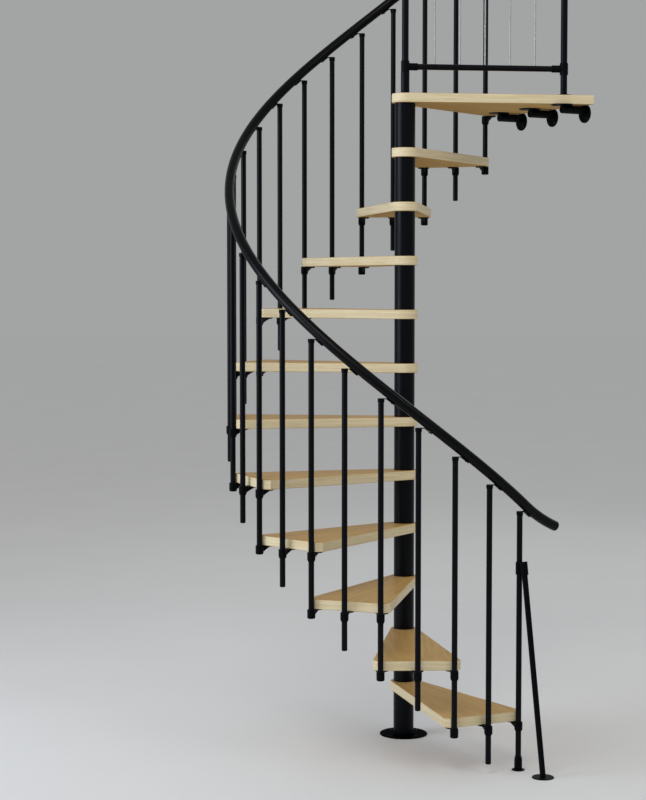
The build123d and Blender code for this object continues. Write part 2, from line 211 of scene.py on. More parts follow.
# %% Floor
FLOOR_HALF_WIDTH = 60.0
corners = [
    (x * FLOOR_HALF_WIDTH, y * FLOOR_HALF_WIDTH, 0) for x, y in ((-1, -1), (1, -1), (1, 1), (-1, 1))
]
floor_mesh = bpy.data.meshes.new("floor")
floor_mesh.from_pydata(corners, [], [(0, 1, 2, 3)])
floor = put_in_scene("floor", floor_mesh)
print("floor", 2 * FLOOR_HALF_WIDTH, "m square")

# %% The floor's paint
# Painted screed: dead flat, with a faint cloudiness that keeps the large area from looking like paper
CLOUD_SPACING = 700  # mm
CLOUD_DARK, CLOUD_PALE = "#D6D6D5", "#DCDCDB"
floor_paint, tree = new_material("matt_painted_screed")
where = add(tree, "ShaderNodeTexCoord")
cloud = add(
    tree,
    "ShaderNodeTexNoise",
    {"Vector": where.outputs["Object"], "Scale": per_metre(CLOUD_SPACING), "Detail": 3.0},
)
tone = add(
    tree,
    "ShaderNodeMix",
    {0: cloud.outputs["Fac"], 6: colour(CLOUD_DARK), 7: colour(CLOUD_PALE)},
    data_type="RGBA",
)
shader = add(
    tree,
    "ShaderNodeBsdfPrincipled",
    {"Base Color": tone.outputs[2], "Roughness": 0.9, "Specular IOR Level": 0.0},
)
add(tree, "ShaderNodeOutputMaterial", {"Surface": shader.outputs[0]})
floor_mesh.materials.append(floor_paint)
print("floor paint from", CLOUD_DARK, "to", CLOUD_PALE)

# %% World
ALL_ROUND_LIGHT = 0.66
SEEN_COLOUR = "#A3A4A4"
world = bpy.data.worlds.new("studio")
bpy.context.scene.world = world
world.use_nodes = True
tree = world.node_tree
tree.nodes.clear()
light_from_all_sides = add(
    tree, "ShaderNodeBackground", {"Color": colour("#E6E7E8"), "Strength": ALL_ROUND_LIGHT}
)
seen_behind = add(tree, "ShaderNodeBackground", {"Color": colour(SEEN_COLOUR), "Strength": 1.0})
path = add(tree, "ShaderNodeLightPath")
mirror_or_glass = add(
    tree,
    "ShaderNodeMath",
    {0: path.outputs["Is Glossy Ray"], 1: path.outputs["Is Transmission Ray"]},
    operation="MAXIMUM",
)
seen = add(
    tree,
    "ShaderNodeMath",
    {0: path.outputs["Is Camera Ray"], 1: mirror_or_glass.outputs[0]},
    operation="MAXIMUM",
)
mixed = add(
    tree,
    "ShaderNodeMixShader",
    {0: seen.outputs[0], 1: light_from_all_sides.outputs[0], 2: seen_behind.outputs[0]},
)
add(tree, "ShaderNodeOutputWorld", {"Surface": mixed.outputs[0]})
print("the world lights with", ALL_ROUND_LIGHT, "and is seen as", SEEN_COLOUR)

# %% [markdown]
# ## Lamps
# Four large soft lamps add shape. A broad cool one stands at the left and draws one slate-blue sheen
# down the left side of each black tube. Its light leaves it within a cone, as through a honeycomb grid,
# so that the floor below it isn't lit brighter than the rest. The one that lights the front hangs high,
# so that no upright tube mirrors it into the camera and the rest of each tube stays black. A weak one
# fills the right side, and one behind parts the far balusters from the background. Small lamps would
# give hard shadows and thin glints, which hide the shape of a black tube. The Standard view shows each
# colour about as it is written.

# %% Lamps


def soft_lamp(name, place, target, size, watts, tint, spread=180):
    """A square lamp of that size in metres. Its light leaves it within a cone of that many degrees."""
    lamp_data = bpy.data.lights.new(name, "AREA")
    lamp_data.shape = "RECTANGLE"
    lamp_data.size = lamp_data.size_y = size
    lamp_data.energy = watts
    lamp_data.color = colour(tint)[:3]
    lamp_data.spread = radians(spread)
    lamp = put_in_scene(name, lamp_data)
    lamp.location = place
    lamp.rotation_euler = (Vector(target) - Vector(place)).to_track_quat("-Z", "Y").to_euler()


soft_lamp("cool_side_lamp", (-4.6, -2.1, 2.6), (0, 0, 1.6), size=3.2, watts=74, tint="#DCE8FB", spread=120)
soft_lamp("high_front_lamp", (-1.2, -4.6, 6.2), (0, 0, 1.2), size=3.0, watts=115, tint="#FFFBF4")
soft_lamp("weak_fill_lamp", (3.6, -3.6, 5.6), (0, 0, 1.4), size=2.0, watts=35, tint="#FFFDF8")
soft_lamp("back_lamp", (2.5, 5.0, 4.6), (0, 0, 1.6), size=4.0, watts=30, tint="#FFFFFF")
bpy.context.scene.view_settings.view_transform = "Standard"

# %% [markdown]
# ## Round faces
# A CAD model reaches Blender as loose flat triangles, so a tube shows narrow facets in its highlights.
# Each node gets a smooth double: a copy with its triangles joined, shaded smooth where faces meet at a
# shallow angle and sharp where they meet at an edge. Its points stay where the CAD put them. Modelling
# the tubes again would give the same shapes with more work.

# %% Round faces
SMOOTH_BELOW_ANGLE = 35
SAME_POINT_WITHIN = 0.005 * MM


def smooth_double(node, material):
    """Joined and smooth-shaded copy of a CAD node, which then stands in for it."""
    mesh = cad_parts[node].data.copy()
    mesh.name = node + "_smooth"
    shape = bmesh.new()
    shape.from_mesh(mesh)
    bmesh.ops.remove_doubles(shape, verts=shape.verts, dist=SAME_POINT_WITHIN)
    for face in shape.faces:
        face.smooth = True
    for edge in shape.edges:
        edge.smooth = len(edge.link_faces) == 2 and edge.calc_face_angle(pi) < radians(SMOOTH_BELOW_ANGLE)
    shape.to_mesh(mesh)
    shape.free()
    mesh.materials.clear()
    mesh.materials.append(material)
    piece = put_in_scene(node + "_smooth", mesh)
    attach(piece, "root")
    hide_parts(node)


print("faces are shaded smooth below", SMOOTH_BELOW_ANGLE, "degrees")

# %% [markdown]
# ## Lacquered beech
# The treads are glued up from strips of light beech that run from the pole to the outer edge. The wood
# is even and pale, with faint long streaks and short darker flecks. On the broad faces a darker honey is
# painted shade and on the edges a paler tone is painted light; clear lacquer puts a soft sheen over both.
# The grain is a
# solid pattern in the board's own directions: long lines from the pole outwards on the broad faces, and
# fine level lines all round the edge, where the layers of the glued board come out. A flat picture
# would have to be fitted to each face.

# %% Beech: a board's own directions
BOARD_OFFSET = 13 * MM  # boards are cut from places of the pattern that lie this far apart
SIDEWAYS_FACE, BROAD_FACE = 0.35, 0.95  # how far up or down such a face looks


def board_directions(tree, azimuth, seed):
    """Place in a board that points that way, how far its face looks up, and 1 where its face is broad."""
    where = add(tree, "ShaderNodeTexCoord")
    place = add(
        tree,
        "ShaderNodeMapping",
        {
            "Vector": where.outputs["Object"],
            "Rotation": (0, 0, -radians(azimuth)),
            "Location": (0, seed * BOARD_OFFSET, 0),
        },
    )
    facing = add(tree, "ShaderNodeSeparateXYZ", {0: where.outputs["Normal"]})
    upright = add(tree, "ShaderNodeMath", {0: facing.outputs["Z"]}, operation="ABSOLUTE")
    broad = add(tree, "ShaderNodeMapRange", {0: upright.outputs[0], 1: SIDEWAYS_FACE, 2: BROAD_FACE})
    return place.outputs[0], facing.outputs["Z"], broad.outputs[0]


print("the first board points to azimuth", steps_azimuth(0.5))

# %% Beech: strips and glue lines
STRIP_WIDTH = 45 * MM
GLUE_LINE = 0.9 * MM  # drawn wider than the real 0.2 mm, so that it shows close up
GLUE_SHARE = 0.14  # of the glue's colour where the line is darkest


def glued_strips(tree, place, seed):
    """The strips' chance, a noise that is the same all over a strip, and the share of glue in a point."""
    axes = add(tree, "ShaderNodeSeparateXYZ", {0: place})
    strips = add(tree, "ShaderNodeMath", {0: axes.outputs["Y"], 1: STRIP_WIDTH}, operation="DIVIDE")
    strip = add(tree, "ShaderNodeMath", {0: strips.outputs[0]}, operation="FLOOR")
    chance = add(
        tree,
        "ShaderNodeTexWhiteNoise",
        {"Vector": (seed, 1, 0), "W": strip.outputs[0]},
        noise_dimensions="4D",
    )

    # The line is darkest at a strip's edge and gone one line's width from it
    inside = add(tree, "ShaderNodeMath", {0: strips.outputs[0]}, operation="FRACT")
    centred = add(tree, "ShaderNodeMath", {0: inside.outputs[0], 1: 0.5}, operation="SUBTRACT")
    off_centre = add(tree, "ShaderNodeMath", {0: centred.outputs[0]}, operation="ABSOLUTE")
    glue = add(
        tree,
        "ShaderNodeMapRange",
        {0: off_centre.outputs[0], 1: 0.5 - GLUE_LINE / STRIP_WIDTH, 2: 0.5, 3: 0.0, 4: GLUE_SHARE},
        interpolation_type="SMOOTHSTEP",
    )
    return chance, glue.outputs[0]


print("strips", STRIP_WIDTH, "m wide")

# %% Beech: grain
STREAK_SPACING = 9  # mm across the grain
FIBRE_SPACING = 2.2  # mm, coarser than the real pores, which are too fine to show
FLECK_SPACING = 6  # mm across the grain
FLECK_CORE, FLECK_RIM, FLECK_SHARE = 0.08, 0.22, 0.22  # reach in shares of the spacing, and strength
ALONG_GRAIN = 0.04  # how much slower the pattern changes along the grain than across it
STRIP_SHIFT = (7, 3, 5)  # metres, times the strip's chance, so that no two strips share their grain


def beech_grain(tree, place, chance, broad):
    """Noise for the streaks and for the fibres, and the share that a fleck's colour has."""
    # Noise drawn out along the strip and shifted on every strip, and level all round the edges, where it
    # runs on from strip to strip
    shift = add(
        tree, "ShaderNodeVectorMath", {0: chance.outputs["Color"], 1: STRIP_SHIFT}, operation="MULTIPLY"
    )
    broad_shift = add(
        tree, "ShaderNodeVectorMath", {0: shift.outputs[0], "Scale": broad}, operation="SCALE"
    )
    shifted = add(tree, "ShaderNodeVectorMath", {0: place, 1: broad_shift.outputs[0]}, operation="ADD")
    across = add(tree, "ShaderNodeMapRange", {0: broad, 3: ALONG_GRAIN, 4: 1.0})
    stretch = add(tree, "ShaderNodeCombineXYZ", {"X": ALONG_GRAIN, "Y": across.outputs[0], "Z": 1.0})
    drawn = add(
        tree, "ShaderNodeVectorMath", {0: shifted.outputs[0], 1: stretch.outputs[0]}, operation="MULTIPLY"
    )
    drawn_out = drawn.outputs[0]
    streaks = add(
        tree,
        "ShaderNodeTexNoise",
        {
            "Vector": drawn_out,
            "Scale": per_metre(STREAK_SPACING),
            "Detail": 4.0,
            "Roughness": 0.5,
            "Distortion": 0.5,
        },
    )
    fibres = add(
        tree, "ShaderNodeTexNoise", {"Vector": drawn_out, "Scale": per_metre(FIBRE_SPACING), "Detail": 3.0}
    )
    cells = add(tree, "ShaderNodeTexVoronoi", {"Vector": drawn_out, "Scale": per_metre(FLECK_SPACING)})
    flecks = add(
        tree,
        "ShaderNodeMapRange",
        {0: cells.outputs["Distance"], 1: FLECK_CORE, 2: FLECK_RIM, 3: FLECK_SHARE, 4: 0.0},
    )
    return streaks.outputs["Fac"], fibres.outputs["Fac"], flecks.outputs[0]


print("streaks are", round(1 / ALONG_GRAIN), "times longer than wide")

# %% Beech: colours
# The edges' paler colours are painted light and the broad faces' honey colours are painted shade
EDGE_PAINTED_LIGHT_PALE, FACE_PAINTED_SHADE_HONEY = "#E0D2AF", "#C2A064"
EDGE_PAINTED_LIGHT_STREAK, FACE_PAINTED_SHADE_STREAK = "#C9B384", "#A9824B"
FLECK_BROWN, GLUE_BROWN, PAINTED_RIM_HIGHLIGHT = "#9C6A36", "#85592B", "#EBD9B2"
STREAK_SHARE = 0.6
DARK_STRIP, PALE_STRIP, EDGE_STRIP = 0.965, 1.015, 0.99  # lightness, times the wood's own
DARK_FIBRE, PALE_FIBRE = 0.95, 1.03
# The rim's pale colour is a painted highlight along the rounded edges
RIM_WIDTH, RIM_HIGHLIGHT_SHARE = 2.5 * MM, 0.45


def beech_colour(tree, broad, chance, glue, streaks, fibres, flecks):
    """Honey as painted shade on the broad faces and pale as painted light on the edges, both darker where
    the grain is.
    """
    wood_with_painted_light_and_shade = add(
        tree, "ShaderNodeMix", {0: broad, 6: colour(EDGE_PAINTED_LIGHT_PALE), 7: colour(FACE_PAINTED_SHADE_HONEY)}, data_type="RGBA"
    )
    grain_with_painted_light_and_shade = add(
        tree, "ShaderNodeMix", {0: broad, 6: colour(EDGE_PAINTED_LIGHT_STREAK), 7: colour(FACE_PAINTED_SHADE_STREAK)}, data_type="RGBA"
    )
    share = add(tree, "ShaderNodeMapRange", {0: streaks, 1: 0.38, 2: 0.70, 3: 0.0, 4: STREAK_SHARE})
    streaked = add(
        tree,
        "ShaderNodeMix",
        {0: share.outputs[0], 6: wood_with_painted_light_and_shade.outputs[2], 7: grain_with_painted_light_and_shade.outputs[2]},
        data_type="RGBA",
    )
    flecked = add(
        tree, "ShaderNodeMix", {0: flecks, 6: streaked.outputs[2], 7: colour(FLECK_BROWN)}, data_type="RGBA"
    )

    # Each strip is a little lighter or darker than the next, and so are the fibres in it
    face_value = add(
        tree, "ShaderNodeMapRange", {0: chance.outputs["Value"], 3: DARK_STRIP, 4: PALE_STRIP}
    )
    strip_value = add(tree, "ShaderNodeMix", {0: broad, 2: EDGE_STRIP, 3: face_value.outputs[0]})
    fibre_value = add(
        tree, "ShaderNodeMapRange", {0: fibres, 1: 0.3, 2: 0.7, 3: DARK_FIBRE, 4: PALE_FIBRE}
    )
    value = add(
        tree, "ShaderNodeMath", {0: strip_value.outputs[0], 1: fibre_value.outputs[0]}, operation="MULTIPLY"
    )
    toned = add(tree, "ShaderNodeHueSaturation", {"Value": value.outputs[0], "Color": flecked.outputs[2]})
    glue_share = add(tree, "ShaderNodeMath", {0: glue, 1: broad}, operation="MULTIPLY")
    glued = add(
        tree,
        "ShaderNodeMix",
        {0: glue_share.outputs[0], 6: toned.outputs[0], 7: colour(GLUE_BROWN)},
        data_type="RGBA",
    )

    # Painted highlight: the rounded-over rim is painted paler than the faces beside it
    rim_highlight_share = add(
        tree, "ShaderNodeMath", {0: along_edges(tree, RIM_WIDTH), 1: RIM_HIGHLIGHT_SHARE}, operation="MULTIPLY"
    )
    with_rim_highlight = add(
        tree,
        "ShaderNodeMix",
        {0: rim_highlight_share.outputs[0], 6: glued.outputs[2], 7: colour(PAINTED_RIM_HIGHLIGHT)},
        data_type="RGBA",
    )
    return with_rim_highlight.outputs[2]


print("beech from", FACE_PAINTED_SHADE_HONEY, "on top to", EDGE_PAINTED_LIGHT_PALE, "at the edge")

# %% Beech: lacquer
SHINIEST, DULLEST = 0.32, 0.44  # roughness on top
UNDERSIDE_DULLER = 0.3  # roughness that the underside has more
LACQUER_WEIGHT = 0.03
PORE_DEPTH = 0.12 * MM


def lacquered_beech(name, azimuth, seed):
    """Wood for the board whose strips run along that azimuth."""
    material, tree = new_material(name)
    place, facing_up, broad = board_directions(tree, azimuth, seed)
    chance, glue = glued_strips(tree, place, seed)
    streaks, fibres, flecks = beech_grain(tree, place, chance, broad)
    wood = beech_colour(tree, broad, chance, glue, streaks, fibres, flecks)

    # The open grain takes a little of the gloss away, and the underside is left without lacquer
    satin = add(tree, "ShaderNodeMapRange", {0: streaks, 1: 0.2, 2: 0.8, 3: SHINIEST, 4: DULLEST})
    underside = add(tree, "ShaderNodeMapRange", {0: facing_up, 1: -0.3, 2: -0.9, 3: 0.0, 4: 1.0})
    dull = add(tree, "ShaderNodeMath", {0: underside.outputs[0], 1: UNDERSIDE_DULLER}, operation="MULTIPLY")
    rough = add(tree, "ShaderNodeMath", {0: satin.outputs[0], 1: dull.outputs[0]}, operation="ADD")
    coat = add(tree, "ShaderNodeMapRange", {0: underside.outputs[0], 3: LACQUER_WEIGHT, 4: 0.0})
    relief = add(tree, "ShaderNodeBump", {"Height": fibres, "Strength": 0.3, "Distance": PORE_DEPTH})
    shader = add(
        tree,
        "ShaderNodeBsdfPrincipled",
        {
            "Base Color": wood,
            "Roughness": rough.outputs[0],
            "Normal": relief.outputs[0],
            "Specular IOR Level": 0.05,
            "Coat Weight": coat.outputs[0],
            "Coat Roughness": 0.12,
        },
    )
    add(tree, "ShaderNodeOutputMaterial", {"Surface": shader.outputs[0]})
    return material


print("coat of lacquer:", LACQUER_WEIGHT, "on top, none underneath")

# %% Beech: the boards
for number in range(1, TREADS + 1):
    wood = lacquered_beech(f"lacquered_beech_{number:02d}", steps_azimuth(number - 0.5), number)
    smooth_double(f"tread_{number:02d}", wood)
landing_wood = lacquered_beech("lacquered_beech_landing", LANDING_AZIMUTH, TREADS + 1)
smooth_double("landing", landing_wood)
print("boards of beech:", TREADS + 1)

# %% [markdown]
# ## Black powder coat and black plastic
# The pole, balusters and fittings are steel, sprayed with black powder and baked. The coat is not quite
# black and a little blue, satin, and slightly uneven like orange peel, which softens the edges of each
# highlight. The cast fittings are a little rougher than the drawn tubes, and the floor plate is trodden
# dull, so it mirrors next to nothing. The handrail is a smooth black plastic profile, a little shinier.
# Their unevenness is in the bump and the roughness, and a slate grey along the sharp edges is a painted
# highlight.

# %% Black powder coat and black plastic
ROUGHNESS_AND_HIGHLIGHT_PATCH_SPACING = 120  # mm between patches of roughness and of painted edge highlight
EDGE_HIGHLIGHT_WIDTH = 1.0 * MM
# The slate grey is a painted highlight along sharp edges
PAINTED_EDGE_HIGHLIGHT_GREY = "#1B1D21"


def satin_black(name, hex_value, roughness, peel, gloss_level):
    """A dark satin skin with its lowest and highest roughness, and its peel's spacing and depth in mm."""
    smoothest, roughest = roughness
    peel_spacing, peel_depth = peel
    material, tree = new_material(name)
    where = add(tree, "ShaderNodeTexCoord")
    dimples = add(
        tree,
        "ShaderNodeTexNoise",
        {"Vector": where.outputs["Object"], "Scale": per_metre(peel_spacing), "Detail": 2.0},
    )
    relief = add(
        tree,
        "ShaderNodeBump",
        {"Height": dimples.outputs["Fac"], "Strength": 0.5, "Distance": peel_depth * MM},
    )
    noise = add(
        tree,
        "ShaderNodeTexNoise",
        {"Vector": where.outputs["Object"], "Scale": per_metre(ROUGHNESS_AND_HIGHLIGHT_PATCH_SPACING), "Detail": 4.0},
    )
    roughness_and_highlight_patches = noise.outputs["Fac"]
    rough = add(tree, "ShaderNodeMapRange", {0: roughness_and_highlight_patches, 1: 0.3, 2: 0.7, 3: smoothest, 4: roughest})
    # Painted highlight: a slate grey is mixed into the colour along the sharp edges, in patches
    painted_edge_highlight = add(
        tree, "ShaderNodeMath", {0: along_edges(tree, EDGE_HIGHLIGHT_WIDTH), 1: roughness_and_highlight_patches}, operation="MULTIPLY"
    )
    tone = add(
        tree,
        "ShaderNodeMix",
        {0: painted_edge_highlight.outputs[0], 6: colour(hex_value), 7: colour(PAINTED_EDGE_HIGHLIGHT_GREY)},
        data_type="RGBA",
    )
    shader = add(
        tree,
        "ShaderNodeBsdfPrincipled",
        {
            "Base Color": tone.outputs[2],
            "Roughness": rough.outputs[0],
            "Normal": relief.outputs[0],
            "Specular IOR Level": gloss_level,
        },
    )
    add(tree, "ShaderNodeOutputMaterial", {"Surface": shader.outputs[0]})
    return material


print("hands have polished places", ROUGHNESS_AND_HIGHLIGHT_PATCH_SPACING, "mm apart")

# %% The five blacks
tube_coat = satin_black(
    "powder_coat_on_drawn_tube", "#020409", roughness=(0.28, 0.36), peel=(3.0, 0.05), gloss_level=0.12
)
fitting_coat = satin_black(
    "powder_coat_on_cast_fittings", "#040609", roughness=(0.40, 0.48), peel=(2.5, 0.08), gloss_level=0.06
)
rail_plastic = satin_black(
    "extruded_pvc_rail", "#030407", roughness=(0.26, 0.34), peel=(6.0, 0.03), gloss_level=0.12
)
plate_coat = satin_black(
    "powder_coat_on_floor_plate", "#010204", roughness=(0.50, 0.60), peel=(3.0, 0.05), gloss_level=0.005
)
screw_black = satin_black(
    "blackened_steel_screws", "#060708", roughness=(0.34, 0.42), peel=(1.0, 0.02), gloss_level=0.1
)
print("blacks:", [m.name for m in (tube_coat, fitting_coat, rail_plastic, plate_coat, screw_black)])

# %% [markdown]
# ## Drawn stainless steel
# The thin rods of the landing's guard are bare stainless steel. Drawing them through a die leaves fine
# lines along their length, which spread each highlight across the rod. The lines are noise stretched
# along the height, drawn coarser than the real tenth of a millimetre so that they show. Anisotropic
# gloss alone would spread the light in the same way, but would show no lines close up.

# %% Drawn stainless steel
LINE_SPACING = 0.8  # mm
ALONG_ROD = 0.002  # how much slower the pattern changes along the rod than across it
LINE_DEPTH = 0.01 * MM
rod_steel, tree = new_material("drawn_stainless_steel")
where = add(tree, "ShaderNodeTexCoord")
drawn = add(
    tree, "ShaderNodeVectorMath", {0: where.outputs["Object"], 1: (1, 1, ALONG_ROD)}, operation="MULTIPLY"
)
lines = add(
    tree,
    "ShaderNodeTexNoise",
    {"Vector": drawn.outputs[0], "Scale": per_metre(LINE_SPACING), "Detail": 2.0},
)
rough = add(tree, "ShaderNodeMapRange", {0: lines.outputs["Fac"], 1: 0.3, 2: 0.7, 3: 0.40, 4: 0.50})
relief = add(
    tree, "ShaderNodeBump", {"Height": lines.outputs["Fac"], "Strength": 0.05, "Distance": LINE_DEPTH}
)
shader = add(
    tree,
    "ShaderNodeBsdfPrincipled",
    {
        "Base Color": colour("#B4B5B5"),
        "Metallic": 1.0,
        "Roughness": rough.outputs[0],
        "Normal": relief.outputs[0],
    },
)
add(tree, "ShaderNodeOutputMaterial", {"Surface": shader.outputs[0]})
print("rod steel has lines", LINE_SPACING, "mm apart")

# %% Dress the steel and the plastic
smooth_double("base_plate", plate_coat)
tubes = ["centre_tube", "spacer_tubes", "pole_post", "end_post", "guard_bar"]
tubes += [f"balusters_{number:02d}" for number in range(1, TREADS + 2)]
fittings = ["front_brackets", "middle_brackets", "back_brackets", "rail_clips"]
fittings += ["first_foot", "bracing_strut", "strut_clamp"]
fittings += ["slab_anchor_1", "slab_anchor_2", "slab_anchor_3", "bar_sockets"]
for name in tubes:
    smooth_double(name, tube_coat)
for name in fittings:
    smooth_double(name, fitting_coat)
smooth_double("guard_rail", rail_plastic)
smooth_double("guard_rods", rod_steel)
print("black steel nodes:", 1 + len(tubes) + len(fittings))

# %% [markdown]
# ## Growing pieces with Geometry Nodes
# A tree of Geometry Nodes is a small machine with named inputs. It is put on an object that holds only
# points, its inputs are set, and what it makes is copied into a plain mesh, so that nothing stays live
# in the model. Copying objects in a loop would also work, but a changed size would then have to be
# followed through every copy.

# %% Growing pieces: the start and the end of a tree
SHARP_ABOVE_ANGLE = 40


def new_tree(name, inputs):
    """A Geometry Nodes tree with those inputs, as {name: (socket kind, value)}, and its input node."""
    tree = bpy.data.node_groups.new(name, "GeometryNodeTree")
    tree.interface.new_socket("Geometry", in_out="OUTPUT", socket_type="NodeSocketGeometry")
    tree.interface.new_socket("Geometry", in_out="INPUT", socket_type="NodeSocketGeometry")
    for label, (kind, value) in inputs.items():
        socket = tree.interface.new_socket(label, in_out="INPUT", socket_type="NodeSocket" + kind)
        socket.default_value = value
    return tree, add(tree, "NodeGroupInput")


def close_tree(tree, geometry, material):
    """Ends a tree with smooth shading, real geometry in place of instances, and its material."""
    angles = add(tree, "GeometryNodeInputMeshEdgeAngle")
    sharp = add(
        tree,
        "ShaderNodeMath",
        {0: angles.outputs[0], 1: radians(SHARP_ABOVE_ANGLE)},
        operation="GREATER_THAN",
    )
    real = add(tree, "GeometryNodeRealizeInstances", {"Geometry": geometry})
    smooth = add(tree, "GeometryNodeSetShadeSmooth", {"Geometry": real.outputs[0], "Shade Smooth": True})
    edged = add(
        tree,
        "GeometryNodeSetShadeSmooth",
        {"Geometry": smooth.outputs[0], "Selection": sharp.outputs[0], "Shade Smooth": False},
        domain="EDGE",
    )
    painted = add(tree, "GeometryNodeSetMaterial", {"Geometry": edged.outputs[0], "Material": material})
    output = add(tree, "NodeGroupOutput")
    tree.links.new(painted.outputs[0], output.inputs[0])


print("grown edges are sharp above", SHARP_ABOVE_ANGLE, "degrees")

# %% Growing pieces: from tree to mesh


def grow(name, tree, values, places=()):
    """Runs a tree with those values on (point, facing) places and keeps its result as a plain mesh."""
    seed_mesh = bpy.data.meshes.new(name + "_seed")
    seed_mesh.from_pydata([tuple(point) for point, facing in places], [], [])
    if places:
        facings = seed_mesh.attributes.new("facing", "FLOAT_VECTOR", "POINT")
        facings.data.foreach_set("vector", [x for point, facing in places for x in facing])
    host = put_in_scene(name + "_host", seed_mesh)
    modifier = host.modifiers.new("grow", "NODES")
    modifier.node_group = tree
    identifiers = {s.name: s.identifier for s in tree.interface.items_tree if s.in_out == "INPUT"}
    for label, value in values.items():
        modifier[identifiers[label]] = value
    depsgraph = bpy.context.evaluated_depsgraph_get()
    mesh = bpy.data.meshes.new_from_object(
        host.evaluated_get(depsgraph), preserve_all_data_layers=True, depsgraph=depsgraph
    )
    host.modifiers.remove(modifier)
    bpy.data.objects.remove(host)
    bpy.data.meshes.remove(seed_mesh)
    mesh.name = name
    piece = put_in_scene(name, mesh)
    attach(piece, "root")
    print(name, "has", len(mesh.polygons), "faces")
    return piece


# %% [markdown]
# ## Handrail
# The rail is one long bar bent to a helix. Below the first baluster it runs on in a tail that bends
# towards level, and each end has a pressed-on cap with a rounded rim. It could be a bevelled curve with
# points placed by hand, but it follows a rule, so a spiral and an arc are placed end to end, joined to
# one line and swept with a round profile.

# %% Handrail: its sizes and its tree's inputs
RAIL_RADIUS = 18.9 * MM  # a hair slimmer than the CAD bar, whose facets lie inside its true circle
RAIL_SIDES = 40
RAIL_START, RAIL_END = -0.1, TREADS + 0.3
POINTS_PER_TURN = 320
TAIL_LENGTH = 175 * MM
TAIL_TURN = radians(16)
TAIL_BEND_RADIUS = TAIL_LENGTH / TAIL_TURN
TAIL_POINTS = 16
JOIN_DISTANCE = 0.5 * MM
rail_tree, given = new_tree(
    "bent_rail",
    {
        "Turns": ("Float", 1.0),
        "Climb": ("Float", 1.0),
        "Circle radius": ("Float", 1.0),
        "Start height": ("Float", 0.0),
        "Start azimuth": ("Float", 0.0),
        "Tail bend radius": ("Float", 1.0),
        "Tail turn": ("Float", 0.1),
        "Tail centre": ("Vector", (0, 0, 0)),
        "Tail attitude": ("Vector", (0, 0, 0)),
        "Rail radius": ("Float", 0.02),
    },
)
print("the tail bends on a radius of", round(TAIL_BEND_RADIUS, 3), "m")

# %% Handrail: helix and tail
spiral = add(
    rail_tree,
    "GeometryNodeCurveSpiral",
    {
        "Resolution": POINTS_PER_TURN,
        "Rotations": given.outputs["Turns"],
        "Start Radius": given.outputs["Circle radius"],
        "End Radius": given.outputs["Circle radius"],
        "Height": given.outputs["Climb"],
    },
)
turn = add(rail_tree, "ShaderNodeCombineXYZ", {"Z": given.outputs["Start azimuth"]})
lift = add(rail_tree, "ShaderNodeCombineXYZ", {"Z": given.outputs["Start height"]})
helix = add(
    rail_tree,
    "GeometryNodeTransform",
    {"Geometry": spiral.outputs[0], "Translation": lift.outputs[0], "Rotation": turn.outputs[0]},
)
bend = add(
    rail_tree,
    "GeometryNodeCurveArc",
    {
        "Resolution": TAIL_POINTS,
        "Radius": given.outputs["Tail bend radius"],
        "Start Angle": -pi / 2,
        "Sweep Angle": given.outputs["Tail turn"],
    },
)
tail = add(
    rail_tree,
    "GeometryNodeTransform",
    {
        "Geometry": bend.outputs[0],
        "Translation": given.outputs["Tail centre"],
        "Rotation": given.outputs["Tail attitude"],
    },
)
print("nodes for helix and tail:", len(rail_tree.nodes))

# %% Handrail: one line, swept
helix_edges = add(rail_tree, "GeometryNodeCurveToMesh", {"Curve": helix.outputs[0]})
tail_edges = add(rail_tree, "GeometryNodeCurveToMesh", {"Curve": tail.outputs[0]})
both = add(rail_tree, "GeometryNodeJoinGeometry")
rail_tree.links.new(helix_edges.outputs[0], both.inputs[0])
rail_tree.links.new(tail_edges.outputs[0], both.inputs[0])
one_chain = add(
    rail_tree, "GeometryNodeMergeByDistance", {"Geometry": both.outputs[0], "Distance": JOIN_DISTANCE}
)
one_line = add(rail_tree, "GeometryNodeMeshToCurve", {"Mesh": one_chain.outputs[0]})
profile = add(
    rail_tree,
    "GeometryNodeCurvePrimitiveCircle",
    {"Resolution": RAIL_SIDES, "Radius": given.outputs["Rail radius"]},
)
bar = add(
    rail_tree,
    "GeometryNodeCurveToMesh",
    {"Curve": one_line.outputs[0], "Profile Curve": profile.outputs[0], "Fill Caps": True},
)
close_tree(rail_tree, bar.outputs[0], rail_plastic)
print("nodes for the whole rail:", len(rail_tree.nodes))

# %% Handrail: where the tail turns off
start_azimuth = steps_azimuth(RAIL_START)
tail_start = outward(start_azimuth) * CIRCLE_RADIUS + UP * rail_height(RAIL_START)
down_rail = sideways(start_azimuth) * cos(RAIL_SLOPE) - UP * sin(RAIL_SLOPE)
off_rail = sideways(start_azimuth) * sin(RAIL_SLOPE) + UP * cos(RAIL_SLOPE)
tail_attitude = Matrix((down_rail, off_rail, down_rail.cross(off_rail))).transposed().to_euler()
handrail = grow(
    "smooth_handrail",
    rail_tree,
    {
        "Turns": (RAIL_END - RAIL_START) * STEP_ANGLE / 360,
        "Climb": (RAIL_END - RAIL_START) * RISE,
        "Circle radius": CIRCLE_RADIUS,
        "Start height": rail_height(RAIL_START),
        "Start azimuth": radians(start_azimuth),
        "Tail bend radius": TAIL_BEND_RADIUS,
        "Tail turn": TAIL_TURN,
        "Tail centre": tail_start + off_rail * TAIL_BEND_RADIUS,
        "Tail attitude": tuple(tail_attitude),
        "Rail radius": RAIL_RADIUS,
    },
)
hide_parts("handrail")

# %% [markdown]
# ## Turned heads: caps, plugs, screws and bolts
# A rail cap, a tube's plug, a screw's head and a bolt's head are all one shape: a short stub that gets
# narrower towards its crown, round or six-sided, some with a socket for the key. The stair has 120 of
# them, too many to model and place by hand. One function builds their trees. Each sweeps the stub along
# a short line, cuts its socket if it has one, and sets a copy on every point, facing that point's way.
# The stub starts a little below the point, so that it sits in the surface and not on it.

# %% Turned heads: the stub
NARROWEST = 0.03  # of the stub's width, so that its crown doesn't close to a point


